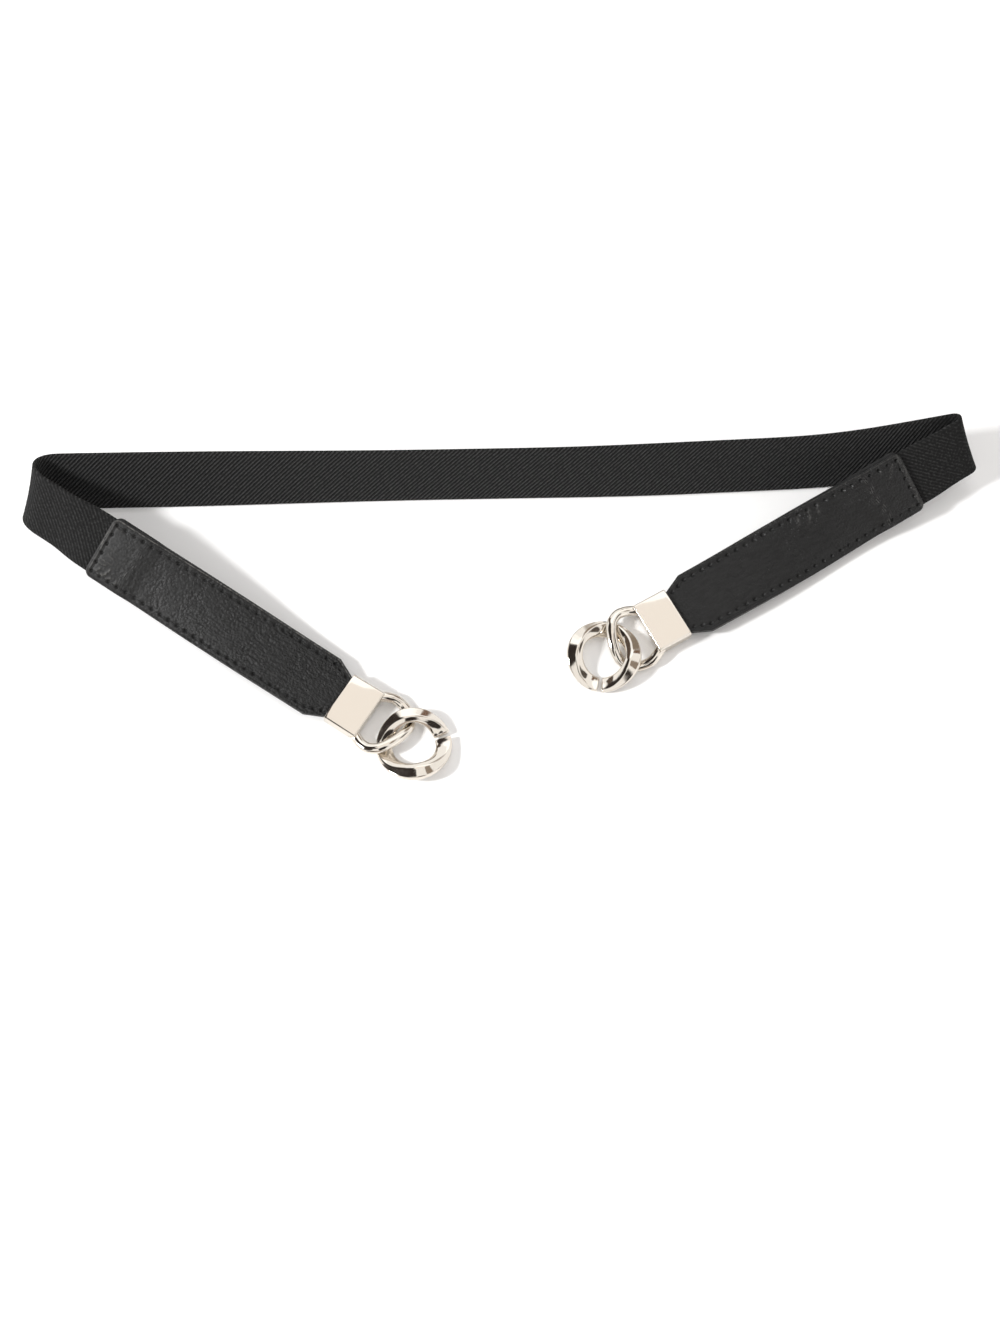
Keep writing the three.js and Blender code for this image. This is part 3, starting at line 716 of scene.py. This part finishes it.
def curb_half(ridge, rim, inner, half_width, half_thickness, roundness):
    """Half of a curb link's section, for each row, from the outer rim to the inner one, as (across, thick).

    A flat ground facet climbs from the rim to the ridge. From there the side comes down to the inner rim,
    between a straight line and a quarter ellipse. The ridge itself is a short parabola between the two. The
    whole is then drawn towards an ellipse by the roundness."""
    ridge, rim, inner = ridge[:, None], rim[:, None], inner[:, None]
    soft = np.minimum(0.45, 0.4 * (half_width - ridge))
    crest = 1 - soft / (half_width - ridge)
    g = np.linspace(0.1, 1, 11)[None, :-1]
    facet_a = half_width + (ridge - half_width) * g * crest
    facet_t = rim + (half_thickness - rim) * g * crest
    begin = np.arcsin(np.minimum(0.9, soft / (ridge + half_width)))
    turn = begin + (np.pi / 2 - begin) * np.linspace(0, 1, 17)[None, :]
    round_a = ridge - (ridge + half_width) * np.sin(turn)
    round_t = inner + (half_thickness - inner) * (0.6 * np.cos(turn) + 0.4 * (1 - np.sin(turn)))
    f = np.linspace(0, 1, 6)[None, :-1]
    from_a, from_t = half_width + (ridge - half_width) * crest, rim + (half_thickness - rim) * crest
    crest_a = (1 - f) ** 2 * from_a + 2 * f * (1 - f) * ridge + f ** 2 * round_a[:, :1]
    crest_t = (1 - f) ** 2 * from_t + 2 * f * (1 - f) * half_thickness + f ** 2 * round_t[:, :1]
    across = np.concatenate([facet_a, crest_a, round_a], axis=1)
    thick = np.concatenate([facet_t, crest_t, round_t], axis=1)
    bow = half_thickness * np.sqrt(np.maximum(0, 1 - (across / half_width) ** 2))
    return np.stack([across, thick + (bow - thick) * roundness], axis=-1)


def curb_section(wave, half_width, half_thickness, roundness=0.0):
    """A curb link's section for each row, anticlockwise from the outer rim.

    Where the link is high (wave 1) the upper facet is wide and its ridge lies inside the band's middle. Where
    it is low (wave -1) the upper side slopes inwards all the way and the facet is on the under side. Between
    them the ridge runs out to the outer rim by a power of the way, and wavers by a small sine. The outer rim
    bulges by a half sine."""
    halves = []
    for w in (wave, -wave):
        off = np.arccos(np.clip(w, -1, 1)) / np.pi
        waver = RIDGE_WAVER * np.sin(np.linspace(0.8, 27.0, len(w))) * off * (1 - off) * 4
        ridge = half_width * (RIDGE_HIGH + RIDGE_TRAVEL * off ** RIDGE_POWER + waver)
        rim, inner = half_thickness * (RIM_MIDDLE - RIM_SWING * w), half_thickness * INNER_SWING * w
        halves.append(curb_half(ridge, rim, inner, half_width, half_thickness, roundness))
    upper, lower = halves[0], halves[1] * (1, -1)
    f = np.linspace(0, 1, 7)[1:-1][None, :, None]
    bulge = np.concatenate([RIM_BULGE * np.sin(np.pi * f), 0 * f], axis=-1)
    outside = lower[:, :1] * (1 - f) + upper[:, :1] * f + bulge
    return np.concatenate([upper, lower[:, -2::-1], outside], axis=1)


def curb_ring(side):
    """The ring: a curb section carried round a circle. Its centre line rises and dips twice a turn by a sine,
    and where it is high the outer rim lifts and the top ridge lies near the inner rim. A narrow slit with
    worn edges opens it, and rows stand closer there."""
    half = RING_SLIT / 2 / RING_RADIUS
    f = np.linspace(0, 1, RING_ROWS)
    f = 0.9 * f + 0.1 * (0.5 - 0.5 * np.cos(np.pi * f))
    angle = math.radians(RING_SLIT_ANGLE) + half + (2 * np.pi - 2 * half) * f
    wave = -np.sin(2 * angle)
    bank = math.radians(RING_BANK) * wave
    across, thick = np.moveaxis(curb_section(wave, RING_BAND / 2, RING_THICKNESS / 2 + RING_FULLER), 2, 0)
    to_slit = np.minimum(angle - angle[0], angle[-1] - angle) * RING_RADIUS
    worn = 1 - np.sqrt(1 - (1 - np.clip(to_slit / SLIT_WORN, 0, 1)) ** 2)
    across, thick = across * (1 - 0.10 * worn[:, None]), thick * (1 - 0.10 * worn[:, None])
    radial = np.stack([np.cos(angle), np.sin(angle), 0 * angle], axis=-1)
    upright = np.array([0, 0, 1])
    line = radial * RING_RADIUS + upright * RING_RISE * wave[:, None]
    flat = radial * np.cos(bank)[:, None] + upright * np.sin(bank)[:, None]
    rise = -radial * np.sin(bank)[:, None] + upright * np.cos(bank)[:, None]
    points = line[:, None] + flat[:, None] * across[..., None] + rise[:, None] * thick[..., None]
    middle, axes = ring_axes(side)
    return closed_surface(f"{side}_curb_ring", (points @ axes.T + middle)[::-1])


def link_line():
    """The half link's centre line and its direction: a Catmull-Rom curve through the table's points."""
    before, after = 2 * HALF_LINK[:1] - HALF_LINK[1:2], 2 * HALF_LINK[-1:] - HALF_LINK[-2:-1]
    rows = np.concatenate([before, HALF_LINK, after])
    t = np.linspace(0, len(HALF_LINK) - 1, LINK_ROWS)
    i = np.minimum(t.astype(int), len(HALF_LINK) - 2)
    f = (t - i)[:, None]
    a, b, c, d = rows[i], rows[i + 1], rows[i + 2], rows[i + 3]
    first, second, third = c - a, 2 * a - 5 * b + 4 * c - d, 3 * b - a - 3 * c + d
    place = 0.5 * (2 * b + first * f + second * f ** 2 + third * f ** 3)
    return place, unit(first + 2 * second * f + 3 * third * f ** 2)


def half_link(side):
    """The half link: the curb section carried along its centre line, with the ridges a whole link has."""
    place, along = link_line()
    angle = np.arctan2(place[:, 1], place[:, 0] - LINK_MIDDLE)
    wave = -np.sin(2 * np.clip(angle, -np.pi / 2, np.pi / 2))
    across = unit(np.cross((0, 0, 1), along))
    rise = np.cross(along, across)
    a, t = np.moveaxis(curb_section(wave, ROD_WIDTH / 2, ROD_THICKNESS / 2, ROD_ROUNDNESS), 2, 0)
    a, t = -a[:, ::-1], t[:, ::-1]
    points = place[:, None] + across[:, None] * a[..., None] + rise[:, None] * t[..., None]
    middle, axes = cap_axes(side)
    return closed_surface(f"{side}_half_link", points @ axes.T + middle)


def rounded_loop(half_width, half_height, radius):
    """A rectangle with round corners, anticlockwise, for each row of sizes, as (y, z) columns: a side, a
    corner, the top and a corner, then the same turned half way round. By a sine, columns stand closer towards
    the corners."""
    half_width, half_height, radius = (v[:, None] for v in (half_width, half_height, radius))
    bend = np.linspace(0, np.pi / 2, 6)[None, :]
    climb, ease = (np.sin(np.linspace(-np.pi / 2, np.pi / 2, n)[1:-1])[None, :] for n in (11, 23))
    w, h = half_width - radius, half_height - radius
    y = np.concatenate([half_width + 0 * climb, w + radius * np.cos(bend),
                        -ease * w, -w - radius * np.sin(bend)], axis=1)
    z = np.concatenate([climb * h, h + radius * np.sin(bend),
                        half_height + 0 * ease, h + radius * np.cos(bend)], axis=1)
    return np.concatenate([y, -y], axis=1), np.concatenate([z, -z], axis=1)


def cap_body(side):
    """The cap: loops of a round-cornered rectangle, from the pocket's floor out to its mouth, round the lip,
    along the outside and in over the front. Its broad faces fall towards the sides by a parabola, more so
    towards the mouth."""
    lip = np.linspace(0, np.pi, 9)[1:-1]
    turn = np.linspace(0, np.pi / 2, 7)
    wall_y, wall_z = (CAP_WIDTH - POCKET_WIDTH) / 2, (CAP_HEIGHT - POCKET_HEIGHT) / 2
    back, floor = -CAP_LENGTH, -CAP_LENGTH + POCKET_DEPTH
    pocket = [floor, floor + 0.02, floor - 3, back + 2, back + CAP_LIP + 0.05]
    around_lip = back + CAP_LIP - CAP_LIP * np.sin(lip)
    outside = [back + CAP_LIP + 0.05, back + 1.0, *np.linspace(back + 2, -2, 7), -1.2, -0.55]
    x = np.concatenate([pocket, around_lip, outside, CAP_ROUND * (np.sin(turn) - 1)])
    share = np.concatenate([np.zeros(len(pocket)), 0.5 - 0.5 * np.cos(lip),
                            np.ones(len(outside) + len(turn))])
    front = np.concatenate([np.zeros(len(x) - len(turn)), CAP_ROUND * (1 - np.cos(turn))])
    half_width = POCKET_WIDTH / 2 + wall_y * share - front
    half_height = POCKET_HEIGHT / 2 + wall_z * share - front
    half_width[0], half_height[0] = half_width[0] - 0.05, half_height[0] - 0.05
    corner = POCKET_CORNER + (CAP_CORNER - POCKET_CORNER) * share - 0.4 * front
    y, z = rounded_loop(half_width, half_height, corner)
    x = np.broadcast_to(x[:, None], y.shape)
    crown = (CROWN_FRONT + (CROWN_MOUTH - CROWN_FRONT) * smooth(-x, 1.0, CAP_LENGTH)) * share[:, None]
    beyond = np.clip(np.abs(y) - CROWN_FROM, 0, None) / (CAP_WIDTH / 2 - CROWN_FROM)
    z = z - np.sign(z) * crown * beyond ** 2
    middle, axes = cap_axes(side)
    return closed_surface(f"{side}_cap", np.stack([x, y, z], axis=-1) @ axes.T + middle)


def cast_cap(side):
    """The cap and its half link as one casting: the union of the two closed shapes."""
    cap, link = cap_body(side), half_link(side)
    join = cap.modifiers.new("join", "BOOLEAN")
    join.operation, join.solver, join.object = "UNION", "EXACT", link
    bpy.context.view_layer.update()
    whole = bpy.data.meshes.new_from_object(cap.evaluated_get(bpy.context.evaluated_depsgraph_get()))
    for piece in (cap, link):
        bpy.data.objects.remove(piece)
    casting = bpy.data.objects.new(f"{side}_cast_cap", whole)
    bpy.context.scene.collection.objects.link(casting)
    whole.shade_smooth()
    whole.set_sharp_from_angle(angle=math.radians(40))
    return casting


for side in SIGN:
    place_piece(cast_cap(side), nickel, "nickel", f"{side}_end_cap")
    place_piece(curb_ring(side), nickel, "nickel", f"{side}_ring")


# Floor, light and camera

def studio_floor():
    """A matt white floor under the belt, six metres each way."""
    mesh = bpy.data.meshes.new("floor")
    wide = 6.0
    corners = [(-wide, -wide, 0), (wide, -wide, 0), (wide, wide, 0), (-wide, wide, 0)]
    mesh.from_pydata(corners, [], [(0, 1, 2, 3)])
    floor = bpy.data.objects.new("floor", mesh)
    bpy.context.scene.collection.objects.link(floor)
    material, tree = new_material("matt_white_paper")
    shader = add(tree, "ShaderNodeBsdfPrincipled",
                 {"Base Color": colour("#fcfcfc"), "Roughness": 0.9, "Specular IOR Level": 0.1})
    add(tree, "ShaderNodeOutputMaterial", {"Surface": (shader, 0)})
    mesh.materials.append(material)


# What polished metal mirrors besides the plain sky, as soft-edged ovals in directions from the belt: the
# middle, the size each way, and the tone. The first two are bright panels, the third is the ceiling that the
# caps mirror, and the others are the camera's stand and the room's dim sides. A later one lies on top.
ROOM_CARDS = [
    ((0.0, 0.62, 0.78), (0.40, 0.24, 0.20), "#fbfbfb"),
    ((0.78, -0.42, 0.48), (0.20, 0.20, 0.25), "#eeedeb"),
    ((0.0, 0.18, 0.97), (0.34, 0.24, 0.5), "#ddd9d5"),
    ((0.05, -0.86, 0.40), (0.45, 0.12, 0.5), "#978c83"),
    ((-0.36, -0.74, 0.55), (0.36, 0.09, 0.5), "#322d29"),
    ((-0.50, 0.17, 0.85), (0.28, 0.48, 0.9), "#2b2624"),
    ((-0.30, -0.17, 0.92), (0.20, 0.14, 0.9), "#2b2624"),
    ((-0.58, -0.38, 0.70), (0.26, 0.20, 0.9), "#342f2c"),
    ((0.17, -0.50, 0.85), (0.22, 0.28, 0.9), "#292523"),
    ((-0.58, 0.66, 0.48), (0.18, 0.14, 0.5), "#4b413a"),
    ((0.40, 0.73, 0.47), (0.30, 0.26, 0.15), "#776c61"),
    ((0.40, 0.06, 0.90), (0.12, 0.16, 0.30), "#7d7268"),
    ((0.46, 0.66, 0.60), (0.08, 0.12, 0.5), "#695549"),
    ((0.72, 0.20, 0.65), (0.08, 0.20, 0.5), "#49433f"),
]
CARD_WAVER = 0.3

SKY_STRENGTH = 1.7
LAMP_HEIGHT, LAMP_TURN, LAMP_DISTANCE = math.radians(38), math.radians(12), 1.8


def studio_light():
    """A pale grey sky of soft light, a touch lighter behind the belt, with the room's cards in it, and one
    soft lamp from the left. Noise shifts each direction a little, so that the cards' edges waver."""
    world = bpy.data.worlds.new("studio")
    bpy.context.scene.world = world
    world.use_nodes = True
    tree = world.node_tree
    tree.nodes.clear()
    place = add(tree, "ShaderNodeTexCoord")
    split = add(tree, "ShaderNodeSeparateXYZ", {"Vector": (place, "Generated")})
    behind = add(tree, "ShaderNodeMapRange", {"Value": (split, "Y"), "From Min": 0.42, "From Max": 0.50})
    sky = add(tree, "ShaderNodeValToRGB", {"Fac": (behind, 0)}, [(0.0, "#dbdad9"), (1.0, "#dedede")])
    light = (sky, "Color")
    ripple = add(tree, "ShaderNodeTexNoise", {"Vector": (place, "Generated"), "Scale": 3.2, "Detail": 2.0})
    wavy = add(tree, "ShaderNodeVectorMath",
               {0: (ripple, "Color"), 1: (CARD_WAVER,) * 3, 2: (place, "Generated")},
               operation="MULTIPLY_ADD")
    for middle, size, tone in ROOM_CARDS:
        back_to = tuple(-CARD_WAVER / 2 - m for m in middle)
        offset = add(tree, "ShaderNodeVectorMath", {0: (wavy, 0), 1: back_to}, operation="ADD")
        scaled = add(tree, "ShaderNodeVectorMath", {0: (offset, 0), 1: tuple(1 / v for v in size)},
                     operation="MULTIPLY")
        away = add(tree, "ShaderNodeVectorMath", {0: (scaled, 0)}, operation="LENGTH")
        clear = add(tree, "ShaderNodeMapRange", {"Value": (away, "Value"), "From Min": 0.9, "From Max": 1.05})
        light = (add(tree, "ShaderNodeMix", {0: (clear, 0), 6: colour(tone), 7: light}, data_type="RGBA"), 2)
    back = add(tree, "ShaderNodeBackground", {"Color": light, "Strength": SKY_STRENGTH})
    add(tree, "ShaderNodeOutputWorld", {"Surface": (back, 0)})
    lamp = bpy.data.lights.new("soft_lamp", "AREA")
    lamp.shape, lamp.size, lamp.size_y, lamp.energy = "RECTANGLE", 0.25, 0.25, 30.0
    holder = bpy.data.objects.new("soft_lamp", lamp)
    bpy.context.scene.collection.objects.link(holder)
    level = math.cos(LAMP_HEIGHT)
    towards = Vector((-level * math.cos(LAMP_TURN), -level * math.sin(LAMP_TURN), math.sin(LAMP_HEIGHT)))
    holder.location = towards * LAMP_DISTANCE
    holder.rotation_euler = towards.to_track_quat("Z", "Y").to_euler()


CAMERA_TILT, CAMERA_DISTANCE, CAMERA_LENS = math.radians(70), 1.05, 76.905


def photo_camera():
    """The photograph's view: 70 degrees above the floor, from 1.05 m."""
    data = bpy.data.cameras.new("camera")
    data.sensor_fit, data.sensor_height, data.lens = "VERTICAL", 36.0, CAMERA_LENS
    camera = bpy.data.objects.new("camera", data)
    bpy.context.scene.collection.objects.link(camera)
    camera.location = (0.0, TO_ORIGIN[1] * MM - CAMERA_DISTANCE * math.cos(CAMERA_TILT),
                       TO_ORIGIN[2] * MM + CAMERA_DISTANCE * math.sin(CAMERA_TILT))
    camera.rotation_euler = (math.radians(90) - CAMERA_TILT, 0, 0)
    bpy.context.scene.camera = camera
    bpy.context.scene.view_settings.view_transform = "Standard"


studio_floor()
studio_light()
photo_camera()
